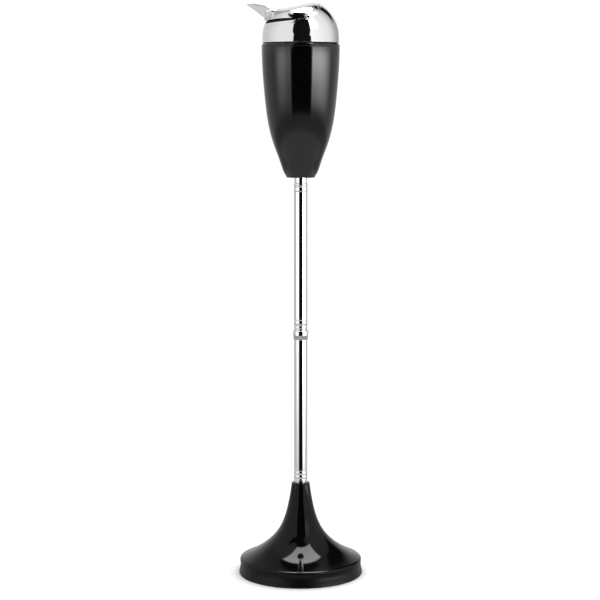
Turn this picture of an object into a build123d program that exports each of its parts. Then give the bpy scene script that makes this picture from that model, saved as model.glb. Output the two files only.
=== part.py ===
from build123d import *
import math
import os

# Floor-standing ashtray bin: trumpet base, two-piece tube, egg-shaped bin and a chrome head with a flip lid.

os.makedirs("parts", exist_ok=True)

# ---- driving sizes, in millimetres: +Z up, origin on the floor at the middle of the base ----

# base
base_dia = 149.0            # across the foot of the trumpet
base_waist_dia = 145.8      # across the shallow groove round the base wall
base_shoulder_dia = 146.5   # across the top of the base wall
base_wall_h = 16.5          # height of the upright wall
base_waist_at = 0.62        # the groove's place, as a share of the wall's height
base_height = 110.4         # floor to the top of the neck
neck_dia = 21.4
base_sheet = 1.2
foot_lift = 0.8             # the steel edge stays this far off the floor
foot_ring_h = 6.0
foot_ring_w = 12.0
base_plate_t = 1.5
weight_t = 10.5
weight_gap = 1.5            # radial room between the plate under the weight and the base wall
weight_inset = 1.5          # the weight stands this far inside its plate
weight_chamfer = 3.0
neck_disc_t = 3.0
neck_disc_gap = 0.4
spacer_tube_dia = 14.0
spacer_tube_wall = 2.0

# tube
tube_dia = 16.0
tube_wall = 1.0
lower_tube_len = 178.1
upper_tube_len = 175.5
plug_len = 20.0
bead_proud = 0.25           # beads, collar and ferrules are sized from the tube they sit on
bead_h = 3.2
crimp_r = 1.1               # round section of the crimp grooves
crimp_depth = 0.35
bead_pitch = 4.9
lower_beads = (0.8, 1.8)            # in pitches above the lower end of the lower tube
lower_crimps = (0.3, 1.3, 2.3)
upper_bead = 8.8                    # above the lower end of the upper tube
upper_crimps = (2.8, 5.8, 12.4)
top_beads = (1.9, 8.6)              # below the top of the upper tube
top_crimp = 4.8
base_ferrule_inset = 0.3
base_ferrule_h = 3.5
collar_proud = 1.2
collar_land = 5.5           # cylindrical part of the collar
collar_taper = 5.5
collar_lip = 0.45           # radial thickness left at the end of the taper
collar_corner = (0.5, 0.8)  # in and down
collar_web = 3.0            # metal between the two tubes
top_ferrule_inset = 0.7
top_ferrule_h = 6.6

# fasteners
rod_dia = 8.0
hex_flats = 13.0
hex_h = 4.0
rod_chamfer = 0.6
bolt_reach = 0.75           # shares of a plug's length that a bolt and the stud go through
stud_reach = 0.9
washer_dia = 20.0
washer_t = 1.6

# bin body
bin_dia = 91.8
bin_height = 157.0
bin_foot_dia = 33.2
bin_sheet = 1.2
bin_foot_t = 2.0
bin_foot_corner = 0.8
bin_floor_corner = 1.0
rim_corner = 2.6
rim_lip = 1.3               # flat part of the rim turned inwards

# bucket and what carries it
rest_ring_drop = 28.0       # bin rim down to the underside of the rest ring
rest_ring_t = 3.0
rest_ring_w = 3.6
bucket_depth = 112.0
bucket_foot_dia = 42.0
bucket_sheet = 0.8
bucket_flange_w = 2.0
bucket_flange_t = 1.2

# head
head_inset = 0.7            # the ball stands this far inside the bin's side
head_lift_off = 0.2         # the skirt ends this far above the bin's rim
dome_sheet = 0.8
dome_skirt = 6.2            # straight skirt under the ball's equator
seal_t = 1.0
spigot_wall = 1.4
spigot_len = 20.0
spigot_flange_h = 4.0
hood_edge = 20.7            # front edge of the fixed hood behind the lid, for a ball of the drawn radius
hood_corner = 31.5          # where that edge starts, above the ball's centre
mouth_corner = (4.0, 19.3)
mouth_corner_r = 5.0
mouth_slope = 0.087         # the mouth falls away towards the thumb tab
drawn_ball_r = 45.2         # the head's outline is drawn for a ball of this radius and follows the real one
lid_edge_gap = 2.2

# lid
lid_sheet = 1.2
lid_tuck = 0.4              # the lid's rear runs this far inside the hood
lid_tuck_from = -12.0       # the flanks start to turn in here and are in after the run
lid_tuck_run = 15.0
lid_rear = 24.0
lid_rear_edge = 27.0        # lower edge of the lid where it runs under the hood
lid_edge_run = 10.0         # the lower edge climbs to it over this length
tab_flank = (0.9, 0.45)     # fullness of the tab's sides, as shares of its half width
tab_belly = 0.45            # how soon a side turns down, as a share of its height
tab_hollow = 0.4            # flatness of the tab's hollow, as a share of its half width
pivot = (8.3, 21.4)         # from the ball's centre
ear_t = 1.5
ear_r = 4.2
boss_depth = 5.7            # boss root, inwards from the ball's surface
boss_r = 4.0
rivet_dia = 3.0
rivet_head_dia = 4.8
rivet_head_h = 1.2
rivet_seat_depth = 1.0
rivet_tail_h = 1.05
rivet_tail_gap = 0.15
pivot_washer_t = 0.5
pivot_washer_gap = 0.1      # between the washer and the boss
ear_gap = 0.3               # between the washer and the ear
ear_arm = 10.0              # the ear reaches this far up into the lid
mouth_seal_t = 2.0
mouth_seal_below = 3.0
mouth_seal_above = 1.4
mouth_seal_back = 2.0       # it ends this far ahead of the bosses
lid_swing_room = 0.6

# clearances
fit = 0.05                  # radial, parts that slide on or through each other
slip = 0.3                  # between the bucket, the head and the bin

# cutting shapes run past what they cut
over = 1.0
far_over = 5.0

# ---- places that follow from the sizes ----

base_r = base_dia / 2
shoulder_r = base_shoulder_dia / 2
neck_r = neck_dia / 2
tube_r = tube_dia / 2
collar_r = tube_r + collar_proud
rod_r = rod_dia / 2
bin_r = bin_dia / 2
dome_r = bin_r - head_inset
drawn = dome_r / drawn_ball_r
hood_edge_x = hood_edge * drawn
hood_corner_z = hood_corner * drawn
mouth_corner_x = mouth_corner[0] * drawn
mouth_corner_z = mouth_corner[1] * drawn
pivot_x = pivot[0] * drawn
pivot_z = pivot[1] * drawn
lid_rear_x = lid_rear * drawn
lid_rear_edge_z = lid_rear_edge * drawn
lid_front_r = dome_r
lid_rear_r = dome_r - dome_sheet - lid_tuck

lower_tube_z = base_height + base_ferrule_h
lower_tube_top = lower_tube_z + lower_tube_len
upper_tube_z = lower_tube_top + collar_web
upper_tube_top = upper_tube_z + upper_tube_len
bin_z = upper_tube_top + top_ferrule_h
rim_z = bin_z + bin_height
rim_inner_r = bin_r - rim_corner - rim_lip
ball_z = rim_z + head_lift_off + dome_skirt
base_plate_z = foot_ring_h
weight_z = base_plate_z + base_plate_t
weight_r = base_waist_dia / 2 - base_sheet - weight_gap
neck_disc_z = base_height - base_sheet - neck_disc_t
rest_ring_z = rim_z - rest_ring_drop
flange_z = rest_ring_z + rest_ring_t
bucket_r = rim_inner_r - slip - bucket_flange_w


def finish(piece, label):
    """Names a finished piece and writes it out."""
    piece.part.label = label
    export_step(piece.part, f"parts/{label}.step")


def inset_points(curve, wall, count):
    """Points one wall thickness inside a profile curve that runs downwards with its solid on the axis side."""
    points = []
    for i in range(count + 1):
        share = i / count
        tangent = curve % share
        points.append(curve @ share + Vector(tangent.Y, -tangent.X) * wall)
    return points


def radius_at(curve, z):
    """Radius of a profile curve at a height, for a curve that runs downwards."""
    low, high = 0.0, 1.0
    for _ in range(40):
        middle = (low + high) / 2
        if (curve @ middle).Y > z:
            low = middle
        else:
            high = middle
    return (curve @ low).X


def ring(label, z, height, outer_r, inner_r):
    """A plain round ring or washer on the axis."""
    with BuildPart() as piece:
        with BuildSketch(Plane.XY.offset(z)):
            Circle(outer_r)
            Circle(inner_r, mode=Mode.SUBTRACT)
        extrude(amount=height)
    finish(piece, label)


# ---- base ----

def flare(spread, rise):
    """A point of the trumpet: shares of the way from neck to shoulder and from shoulder to neck top."""
    return (
        neck_r + spread * (shoulder_r - neck_r),
        base_wall_h + rise * (base_height - base_wall_h),
    )


with BuildPart() as base_shell:
    with BuildSketch(Plane.XZ):
        with BuildLine():
            trumpet = Spline(
                flare(0, 1),
                flare(0.08, 0.69),
                flare(0.265, 0.375),
                flare(0.635, 0.143),
                flare(0.94, 0.035),
                flare(1, 0),
                tangents=[(0.13, -1), (0.05, -1)],
            )
            wall = Spline(
                trumpet @ 1,
                (base_waist_dia / 2, base_wall_h * base_waist_at),
                (base_r, foot_lift),
                tangents=[(-0.05, -1), (0.1, -1)],
            )
            wall_in = Spline(*reversed(inset_points(wall, base_sheet, 4)))
            trumpet_in = Spline(*reversed(inset_points(trumpet, base_sheet, 12)[1:-1]))
            Line(wall @ 1, wall_in @ 0)
            Line(wall_in @ 1, trumpet_in @ 0)
            Polyline(
                trumpet_in @ 1,
                (neck_r - base_sheet, base_height - base_sheet),
                (rod_r + fit, base_height - base_sheet),
                (rod_r + fit, base_height),
                trumpet @ 0,
            )
        make_face()
    revolve(axis=Axis.Z)
finish(base_shell, "base_shell")

ring("foot_ring", 0, foot_ring_h, weight_r, weight_r - foot_ring_w)
ring("base_plate", base_plate_z, base_plate_t, weight_r, rod_r + fit)

with BuildPart() as base_weight:
    with BuildSketch(Plane.XY.offset(weight_z)):
        Circle(weight_r - weight_inset)
        Circle(rod_r + fit, mode=Mode.SUBTRACT)
    extrude(amount=weight_t)
    chamfer(base_weight.faces().sort_by(Axis.Z)[-1].edges().sort_by(SortBy.LENGTH)[-1], weight_chamfer)
finish(base_weight, "base_weight")

spacer_z = weight_z + weight_t
ring("spacer_tube", spacer_z, neck_disc_z - spacer_z, spacer_tube_dia / 2, spacer_tube_dia / 2 - spacer_tube_wall)
ring("neck_disc", neck_disc_z, neck_disc_t, neck_r - base_sheet - neck_disc_gap, rod_r + fit)


# ---- rods and bolts on the axis ----

def rod(label, z_low, z_high, head_below=False, head_above=False):
    """A rod on the axis, with a hexagon head at the end asked for."""
    with BuildPart() as piece:
        with BuildSketch(Plane.XY.offset(z_low)):
            Circle(rod_r)
        extrude(amount=z_high - z_low)
        if head_below:
            with BuildSketch(Plane.XY.offset(z_low - hex_h)):
                RegularPolygon(hex_flats / 2, 6, major_radius=False)
            extrude(amount=hex_h)
        if head_above:
            with BuildSketch(Plane.XY.offset(z_high)):
                RegularPolygon(hex_flats / 2, 6, major_radius=False)
            extrude(amount=hex_h)
        chamfer(piece.faces().sort_by(Axis.Z)[-1 if head_below else 0].edges(), rod_chamfer)
    finish(piece, label)


base_washer_z = base_plate_z - washer_t
ring("base_washer", base_washer_z, washer_t, washer_dia / 2, rod_r + fit)
rod("base_bolt", base_washer_z, lower_tube_z + plug_len * bolt_reach, head_below=True)

# ---- tube ----

plug_r = tube_r - tube_wall - fit


def tube(label, z_low, length, beads, crimps):
    """A chromed tube with rolled beads and crimp grooves at the heights given."""
    with BuildPart() as piece:
        with BuildSketch(Plane.XY.offset(z_low)):
            Circle(tube_r)
        extrude(amount=length)
        for z in beads:
            with BuildSketch(Plane.XZ):
                with BuildLine():
                    foot = Line((tube_r - tube_wall / 2, z - bead_h / 2), (tube_r - tube_wall / 2, z + bead_h / 2))
                    ThreePointArc(foot @ 0, (tube_r + bead_proud, z), foot @ 1)
                make_face()
            revolve(axis=Axis.Z)
        for z in crimps:
            with BuildSketch(Plane.XZ):
                with Locations((tube_r + crimp_r - crimp_depth, z)):
                    Circle(crimp_r)
            revolve(axis=Axis.Z, mode=Mode.SUBTRACT)
        with BuildSketch(Plane.XY.offset(z_low)):
            Circle(tube_r - tube_wall)
        extrude(amount=length, mode=Mode.SUBTRACT)
    finish(piece, label)


ring("base_ferrule", base_height, base_ferrule_h, tube_r - base_ferrule_inset, rod_r + fit)

tube(
    "lower_tube",
    lower_tube_z,
    lower_tube_len,
    [lower_tube_z + bead_pitch * count for count in lower_beads],
    [lower_tube_z + bead_pitch * count for count in lower_crimps],
)
tube(
    "upper_tube",
    upper_tube_z,
    upper_tube_len,
    [upper_tube_z + upper_bead] + [upper_tube_top - down for down in top_beads],
    [upper_tube_z + up for up in upper_crimps] + [upper_tube_top - top_crimp],
)
for label, z in (
    ("lower_tube_bottom_plug", lower_tube_z),
    ("lower_tube_top_plug", lower_tube_top - plug_len),
    ("upper_tube_bottom_plug", upper_tube_z),
    ("upper_tube_top_plug", upper_tube_top - plug_len),
):
    ring(label, z, plug_len, plug_r, rod_r + fit)

with BuildPart() as joint_collar:
    with BuildSketch(Plane.XZ):
        collar_low = upper_tube_z - collar_land - collar_taper
        with BuildLine():
            Polyline(
                (rod_r + fit, upper_tube_z),
                (collar_r - collar_corner[0], upper_tube_z),
                (collar_r, upper_tube_z - collar_corner[1]),
                (collar_r, upper_tube_z - collar_land),
                (tube_r + collar_lip, collar_low),
                (tube_r + fit, collar_low),
                (tube_r + fit, lower_tube_top),
                (rod_r + fit, lower_tube_top),
                close=True,
            )
        make_face()
    revolve(axis=Axis.Z)
finish(joint_collar, "joint_collar")

rod("joint_stud", lower_tube_top - plug_len * stud_reach, upper_tube_z + plug_len * stud_reach)
ring("top_ferrule", upper_tube_top, top_ferrule_h, tube_r - top_ferrule_inset, rod_r + fit)

# ---- bin body ----

bin_foot_r = bin_foot_dia / 2


def egg(spread, rise):
    """A point of the bin's side: shares of the way from foot to rim, outwards and upwards."""
    return (bin_foot_r + spread * (bin_r - bin_foot_r), bin_z + rise * bin_height)


bin_side = Spline(
    (bin_r, rim_z - rim_corner),
    egg(0.966, 0.796),
    egg(0.884, 0.609),
    egg(0.744, 0.407),
    egg(0.529, 0.251),
    egg(0.266, 0.117),
    egg(0, 0.006),
    tangents=[(0, -1), (-0.85, -1)],
)
bin_lining = inset_points(bin_side, bin_sheet, 12)[:-1]

with BuildPart() as bin_body:
    with BuildSketch(Plane.XZ):
        with BuildLine():
            add(bin_side)
            Polyline(
                bin_side @ 1,
                (bin_foot_r - bin_foot_corner, bin_z),
                (rod_r + fit, bin_z),
                (rod_r + fit, bin_z + bin_foot_t),
                (bin_foot_r - bin_floor_corner, bin_z + bin_foot_t),
                bin_lining[-1],
            )
            Spline(*reversed(bin_lining))
            RadiusArc(bin_lining[0], (bin_r - rim_corner, rim_z - bin_sheet), -(rim_corner - bin_sheet))
            Polyline(
                (bin_r - rim_corner, rim_z - bin_sheet),
                (rim_inner_r, rim_z - bin_sheet),
                (rim_inner_r, rim_z),
                (bin_r - rim_corner, rim_z),
            )
            RadiusArc((bin_r - rim_corner, rim_z), bin_side @ 0, rim_corner)
        make_face()
    revolve(axis=Axis.Z)
finish(bin_body, "bin_body")

bin_bolt_seat = bin_z + bin_foot_t + washer_t
ring("bin_washer", bin_z + bin_foot_t, washer_t, washer_dia / 2, rod_r + fit)
rod("bin_bolt", upper_tube_top - plug_len * bolt_reach, bin_bolt_seat, head_above=True)

rest_ring_r = radius_at(bin_side, rest_ring_z) - bin_sheet - fit
ring("rest_ring", rest_ring_z, rest_ring_t, rest_ring_r, rest_ring_r - rest_ring_w)

# ---- bucket ----

with BuildPart() as ash_bucket:
    with BuildSketch(Plane.XZ):
        bucket_foot_z = flange_z - bucket_depth
        foot_r = bucket_foot_dia / 2
        with BuildLine():
            Polyline(
                (0, bucket_foot_z),
                (foot_r, bucket_foot_z),
                (bucket_r, flange_z),
                (bucket_r + bucket_flange_w, flange_z),
                (bucket_r + bucket_flange_w, flange_z + bucket_flange_t),
                (bucket_r - bucket_sheet, flange_z + bucket_flange_t),
                (foot_r - bucket_sheet, bucket_foot_z + bucket_sheet),
                (0, bucket_foot_z + bucket_sheet),
                close=True,
            )
        make_face()
    revolve(axis=Axis.Z)
finish(ash_bucket, "ash_bucket")

# ---- head ----

ball = Location((0, 0, ball_z))
dome_inner_r = dome_r - dome_sheet
skirt_z = ball_z - dome_skirt
pivot_at = (pivot_x, ball_z + pivot_z)
wall_y = math.sqrt(dome_r**2 - pivot_x**2 - pivot_z**2)
boss_root_y = wall_y - boss_depth
rivet_seat_y = wall_y - rivet_seat_depth


def mouth_line(x):
    """Height of the head's mouth above the ball's centre, ahead of its corner."""
    return mouth_corner_z + mouth_slope * (x - mouth_corner_x)


def side_pins(radius, near, far, mode=Mode.ADD):
    """A pair of cylinders on the pivot axis, one each side, between two distances from the middle."""
    for side in (1, -1):
        with BuildSketch(Plane.XZ.offset(-side * near)) as round_end:
            with Locations(pivot_at):
                Circle(radius)
        extrude(round_end.sketch, amount=-side * (far - near), mode=mode)


with BuildPart() as bosses:
    side_pins(boss_r, boss_root_y, dome_r)
    with Locations(ball):
        Sphere(dome_r, mode=Mode.INTERSECT)

with BuildPart() as dome:
    with BuildSketch(Plane.XZ):
        with BuildLine():
            crown = (0, ball_z + dome_r)
            crown_in = (0, ball_z + dome_inner_r)
            RadiusArc(crown, (dome_r, ball_z), dome_r)
            Polyline(
                (dome_r, ball_z),
                (dome_r, skirt_z),
                (dome_inner_r, skirt_z),
                (dome_inner_r, ball_z),
            )
            RadiusArc((dome_inner_r, ball_z), crown_in, -dome_inner_r)
            Line(crown_in, crown)
        make_face()
    revolve(axis=Axis.Z)
    with BuildSketch(Plane.XZ):
        with BuildLine():
            Polyline(
                (-dome_r - far_over, ball_z + mouth_line(-dome_r - far_over)),
                (mouth_corner_x, ball_z + mouth_corner_z),
                (hood_edge_x, ball_z + hood_corner_z),
                (hood_edge_x, ball_z + dome_r + far_over),
                (-dome_r - far_over, ball_z + dome_r + far_over),
                close=True,
            )
        make_face()
        corners = vertices().sort_by(Axis.X)[-3:]
        fillet([v for v in corners if v.Y < ball_z + hood_corner_z + over], mouth_corner_r)
    extrude(amount=dome_r + far_over, both=True, mode=Mode.SUBTRACT)
    add(bosses.part)
    side_pins(rivet_dia / 2 + fit, boss_root_y - over, dome_r + over, Mode.SUBTRACT)
    side_pins(rivet_head_dia / 2 + fit, rivet_seat_y, dome_r + over, Mode.SUBTRACT)
finish(dome, "dome")

spigot_r = rim_inner_r - slip
seal_z = rim_z
spigot_z = seal_z + seal_t
ring("head_seal", seal_z, seal_t, bin_r - rim_corner - fit, spigot_r + fit)

with BuildPart() as spigot_ring:
    with BuildSketch(Plane.XZ):
        with BuildLine():
            Polyline(
                (spigot_r - spigot_wall, spigot_z - spigot_len),
                (spigot_r, spigot_z - spigot_len),
                (spigot_r, spigot_z),
                (dome_inner_r - fit, spigot_z),
                (dome_inner_r - fit, spigot_z + spigot_flange_h),
                (spigot_r - spigot_wall, spigot_z + spigot_flange_h),
                close=True,
            )
        make_face()
    revolve(axis=Axis.Z)
finish(spigot_ring, "spigot_ring")

with BuildPart() as mouth_seal:
    with BuildSketch(Plane.XZ):
        seal_back_x = pivot_x - boss_r - mouth_seal_back
        seal_front_x = -dome_r - far_over
        with BuildLine():
            Polyline(
                (seal_front_x, ball_z + mouth_line(seal_front_x) - mouth_seal_below),
                (seal_back_x, ball_z + mouth_line(seal_back_x) - mouth_seal_below),
                (seal_back_x, ball_z + mouth_line(seal_back_x) + mouth_seal_above),
                (seal_front_x, ball_z + mouth_line(seal_front_x) + mouth_seal_above),
                close=True,
            )
        make_face()
    extrude(amount=dome_r + far_over, both=True)
    with Locations(ball):
        Sphere(dome_inner_r - fit, mode=Mode.INTERSECT)
        Sphere(dome_inner_r - fit - mouth_seal_t, mode=Mode.SUBTRACT)
finish(mouth_seal, "mouth_seal")

ear_outer_y = boss_root_y - pivot_washer_t - ear_gap
ear_inner_y = ear_outer_y - ear_t
rivet_tail_y = ear_inner_y - rivet_tail_gap
with BuildPart() as pivot_rivets:
    side_pins(rivet_dia / 2, rivet_tail_y - fit, rivet_seat_y)
    side_pins(rivet_head_dia / 2, rivet_seat_y, rivet_seat_y + rivet_head_h)
    side_pins(rivet_head_dia / 2, rivet_tail_y - rivet_tail_h, rivet_tail_y)
finish(pivot_rivets, "pivot_rivets")

with BuildPart() as pivot_washers:
    side_pins(boss_r, boss_root_y - pivot_washer_gap - pivot_washer_t, boss_root_y - pivot_washer_gap)
    side_pins(rivet_dia / 2 + fit, ear_outer_y, boss_root_y, Mode.SUBTRACT)
finish(pivot_washers, "pivot_washers")

# ---- lid ----


def lid_edge(x):
    """Lower edge of the lid above the ball's centre."""
    if x <= mouth_corner_x:
        return mouth_line(x) + lid_edge_gap
    rise = min(1, (x - mouth_corner_x) / (lid_edge_run * drawn))
    return mouth_line(mouth_corner_x) + lid_edge_gap + rise * (lid_rear_edge_z - mouth_corner_z - lid_edge_gap)


def lid_radius(x):
    """Distance of the lid's lower edge from the ball's centre: flush ahead, tucked in behind."""
    share = min(1, max(0, (x / drawn - lid_tuck_from) / lid_tuck_run))
    return lid_front_r + share * (lid_rear_r - lid_front_r)


def cap_section(x, radius, edge, crown):
    """Half-moon section of the lid at a place along X: round flanks, a flat chord and a crown of its own height."""
    slice_r = math.sqrt(radius**2 - x**2)
    half = math.sqrt(slice_r**2 - edge**2)
    crown = min(crown, slice_r)
    angle = math.atan2(edge, half)
    pull = 4 / 3 * math.tan((math.pi / 2 - angle) / 4) * slice_r
    with BuildSketch(Plane.YZ.offset(x)) as section:
        with BuildLine():
            for side in (1, -1):
                Bezier(
                    (side * half, ball_z + edge),
                    (side * (half - pull * math.sin(angle)), ball_z + edge + pull * math.cos(angle)),
                    (side * pull, ball_z + crown),
                    (0, ball_z + crown),
                )
            Line((half, ball_z + edge), (-half, ball_z + edge))
        make_face()
    return section.sketch


# places along X and the crown height there, for a ball of the drawn radius; the ball itself caps the tall ones
tall = drawn_ball_r
lid_crowns = [
    (-40.0, tall),
    (-37.0, tall),
    (-32.5, 31.4),
    (-26.0, 33.9),
    (-18.0, 33.9),
    (-8.0, 36.2),
    (2.0, 38.6),
    (10.0, 39.9),
    (17.0, 40.6),
    (hood_edge, tall),
    (lid_rear, tall),
]
lid_crowns = [(x * drawn, crown * drawn) for x, crown in lid_crowns]

with BuildPart() as lid_outer:
    loft([cap_section(x, lid_radius(x), lid_edge(x), crown) for x, crown in lid_crowns])

with BuildPart() as lid_hollow:
    sections = []
    for x, crown in lid_crowns[1:]:
        reach = over if x == lid_rear_x else 0
        open_edge = lid_edge(x) - lid_sheet * 2
        sections.append(cap_section(x + reach, lid_radius(x) - lid_sheet, open_edge, crown - lid_sheet))
    loft(sections)

# thumb tab: place along X, half width, rim height, dish and keel height, for a ball of the drawn radius
tab_sections = [
    (-62.2, 0.7, 38.4, 0.1, 37.6),
    (-57.0, 5.2, 38.9, 0.8, 33.6),
    (-51.0, 9.5, 38.6, 1.5, 29.2),
    (-45.5, 13.0, 37.5, 1.8, 24.8),
    (-40.0, 15.8, 35.6, 1.6, 20.5),
    (-34.0, 17.0, 34.2, 1.0, 19.5),
    (-27.0, 16.0, 34.0, 0.3, 19.5),
]

with BuildPart() as thumb_tab:
    for sizes in tab_sections:
        x, half, top, dish, keel = (size * drawn for size in sizes)
        with BuildSketch(Plane.YZ.offset(x)):
            with BuildLine():
                for side in (1, -1):
                    Bezier(
                        (side * half, ball_z + top),
                        (side * half * tab_flank[0], ball_z + top - tab_belly * (top - keel)),
                        (side * half * tab_flank[1], ball_z + keel),
                        (0, ball_z + keel),
                    )
                Bezier(
                    (half, ball_z + top),
                    (half * tab_hollow, ball_z + top - dish * 4 / 3),
                    (-half * tab_hollow, ball_z + top - dish * 4 / 3),
                    (-half, ball_z + top),
                )
            make_face()
    loft()
    with Locations(ball):
        Sphere(lid_front_r - lid_sheet, mode=Mode.SUBTRACT)

with BuildPart() as lid_ears:
    for side in (1, -1):
        with BuildSketch(Plane.XZ.offset(-side * ear_inner_y)):
            with Locations(pivot_at):
                Circle(ear_r)
            with Locations((pivot_x, ball_z + pivot_z + ear_arm / 2)):
                Rectangle(2 * ear_r, ear_arm)
        extrude(amount=-side * ear_t)
    add(lid_outer.part, mode=Mode.INTERSECT)
    side_pins(ear_r, ear_inner_y, ear_outer_y)

with BuildPart() as lid:
    add(lid_outer.part)
    add(lid_hollow.part, mode=Mode.SUBTRACT)
    add(thumb_tab.part)
    side_pins(boss_r + lid_swing_room, ear_outer_y, dome_r, Mode.SUBTRACT)
    add(lid_ears.part)
    side_pins(rivet_dia / 2 + fit, ear_inner_y - over, ear_outer_y + over, Mode.SUBTRACT)
finish(lid, "lid")
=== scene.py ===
import math

import bmesh
import bpy
import numpy as np
from mathutils import Matrix, Vector


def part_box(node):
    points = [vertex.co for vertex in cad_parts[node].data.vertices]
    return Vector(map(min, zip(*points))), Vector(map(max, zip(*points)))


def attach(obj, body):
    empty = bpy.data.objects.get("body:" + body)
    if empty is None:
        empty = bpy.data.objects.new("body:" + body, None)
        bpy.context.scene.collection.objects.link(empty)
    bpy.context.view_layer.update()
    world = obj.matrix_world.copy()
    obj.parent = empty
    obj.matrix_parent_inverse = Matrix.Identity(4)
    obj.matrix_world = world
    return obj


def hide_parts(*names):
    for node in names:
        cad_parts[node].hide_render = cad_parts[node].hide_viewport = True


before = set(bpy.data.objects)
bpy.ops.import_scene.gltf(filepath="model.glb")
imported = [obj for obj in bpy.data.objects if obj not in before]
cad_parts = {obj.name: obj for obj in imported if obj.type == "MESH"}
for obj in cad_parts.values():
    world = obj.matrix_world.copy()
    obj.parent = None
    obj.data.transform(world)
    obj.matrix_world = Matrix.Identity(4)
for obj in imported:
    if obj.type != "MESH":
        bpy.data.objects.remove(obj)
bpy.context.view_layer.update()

mm = 0.001
scene = bpy.context.scene
scene.view_settings.view_transform = "Standard"


# shader maths as expressions: a Wire is one socket, and adding or multiplying wires adds Math nodes
class Wire:
    def __init__(self, tree, socket):
        self.tree = tree
        self.socket = socket

    def maths(self, operation, first, second):
        node = self.tree.nodes.new("ShaderNodeMath")
        node.operation = operation
        for socket, value in zip(node.inputs, (first, second)):
            plug(self.tree, socket, value)
        return Wire(self.tree, node.outputs[0])

    def __add__(self, other):
        return self.maths("ADD", self, other)

    def __radd__(self, other):
        return self.maths("ADD", other, self)

    def __sub__(self, other):
        return self.maths("SUBTRACT", self, other)

    def __rsub__(self, other):
        return self.maths("SUBTRACT", other, self)

    def __mul__(self, other):
        return self.maths("MULTIPLY", self, other)

    def __rmul__(self, other):
        return self.maths("MULTIPLY", other, self)


def plug(tree, socket, value):
    if isinstance(value, Wire):
        tree.links.new(value.socket, socket)
    else:
        socket.default_value = value


class Graph:
    def __init__(self, tree):
        self.tree = tree
        tree.nodes.clear()

    def node(self, kind, settings=None, inputs=None, output=0):
        made = self.tree.nodes.new(kind)
        for key, value in (settings or {}).items():
            setattr(made, key, value)
        for key, value in (inputs or {}).items():
            plug(self.tree, made.inputs[key], value)
        return Wire(self.tree, made.outputs[output]) if made.outputs else None

    def fade(self, value, low, high):  # 0 on the low side, 1 on the high side, eased between
        inputs = {"Value": value, "From Min": low, "From Max": high}
        return self.node("ShaderNodeMapRange", {"interpolation_type": "SMOOTHSTEP"}, inputs)

    def band(self, value, start, full, wane, end):  # 1 between full and wane, 0 outside start and end
        return self.fade(value, start, full) * self.fade(value, end, wane)

    def noise(self, place, scale, detail=3.0, rough=0.5):
        inputs = {"Vector": place, "Scale": scale, "Detail": detail, "Roughness": rough}
        return self.node("ShaderNodeTexNoise", None, inputs)

    def stretched(self, place, scale):  # a place squeezed by its own scale along each axis
        return self.node("ShaderNodeMapping", None, {"Vector": place, "Scale": scale})

    def blend(self, share, first, second):  # a colour between two colours
        inputs = {0: share, 6: first, 7: second}
        return self.node("ShaderNodeMix", {"data_type": "RGBA"}, inputs, output=2)

    def bump(self, height, depth, strength):
        inputs = {"Height": height, "Distance": depth, "Strength": strength}
        return self.node("ShaderNodeBump", None, inputs)


def paint(red, green, blue):
    return (red, green, blue, 1.0)


# one finish is a node material; each recipe below fills in its surface
def newFinish(name):
    material = bpy.data.materials.new(name)
    material.use_nodes = True
    graph = Graph(material.node_tree)
    place = graph.node("ShaderNodeTexCoord", output=3)
    return material, graph, place


def surface(graph, inputs):
    shader = graph.node("ShaderNodeBsdfPrincipled", None, inputs)
    graph.node("ShaderNodeOutputMaterial", None, {"Surface": shader})


def edgeWear(graph, low, high):  # 0 on flat ground, 1 on convex edges
    pointy = graph.node("ShaderNodeNewGeometry", output=7)
    return graph.fade(pointy, low, high)


enamelLook = {
    "deepBlack": paint(0.0012, 0.0012, 0.0014),
    "hazeBlack": paint(0.003, 0.003, 0.0033),
    "dust": paint(0.10, 0.095, 0.09),
    "wornEdge": paint(0.05, 0.05, 0.05),
}


def enamel(name, gloss, glossSpread, bend, dustLine, scuffLine=None):
    # baked black enamel: orange peel, cloudy haze, a film of dust where it settles and thin rubbed edges
    material, graph, place = newFinish(name)
    look = enamelLook
    peel = graph.noise(place, 620, 2.0)
    cloud = graph.noise(place, 28, 4.0)
    specks = graph.fade(graph.noise(place, 2400, 2.0), 0.70, 0.78)
    height = graph.node("ShaderNodeSeparateXYZ", None, {"Vector": place}, output=2)
    settled = graph.fade(height, dustLine[1], dustLine[0]) * graph.fade(cloud, 0.42, 0.72)
    dust = specks * settled * 0.35
    rubbed = edgeWear(graph, 0.56, 0.70) * graph.fade(graph.noise(place, 190, 5.0), 0.5, 0.62)
    colour = graph.blend(cloud, look["deepBlack"], look["hazeBlack"])
    colour = graph.blend(dust, colour, look["dust"])
    colour = graph.blend(rubbed * 0.35, colour, look["wornEdge"])
    roughness = gloss + (cloud - 0.5) * glossSpread + dust * 0.5 + rubbed * 0.12
    if scuffLine:  # shoes and mops dull the wall just over the floor
        scuffed = graph.fade(height, scuffLine[1], scuffLine[0])
        roughness = roughness + scuffed * (0.24 + cloud * 0.12)
    normal = graph.bump(peel, 0.02 * mm, 0.35)
    surface(graph, {"Base Color": colour, "Roughness": roughness, "Normal": normal, "IOR": bend})
    return material


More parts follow.
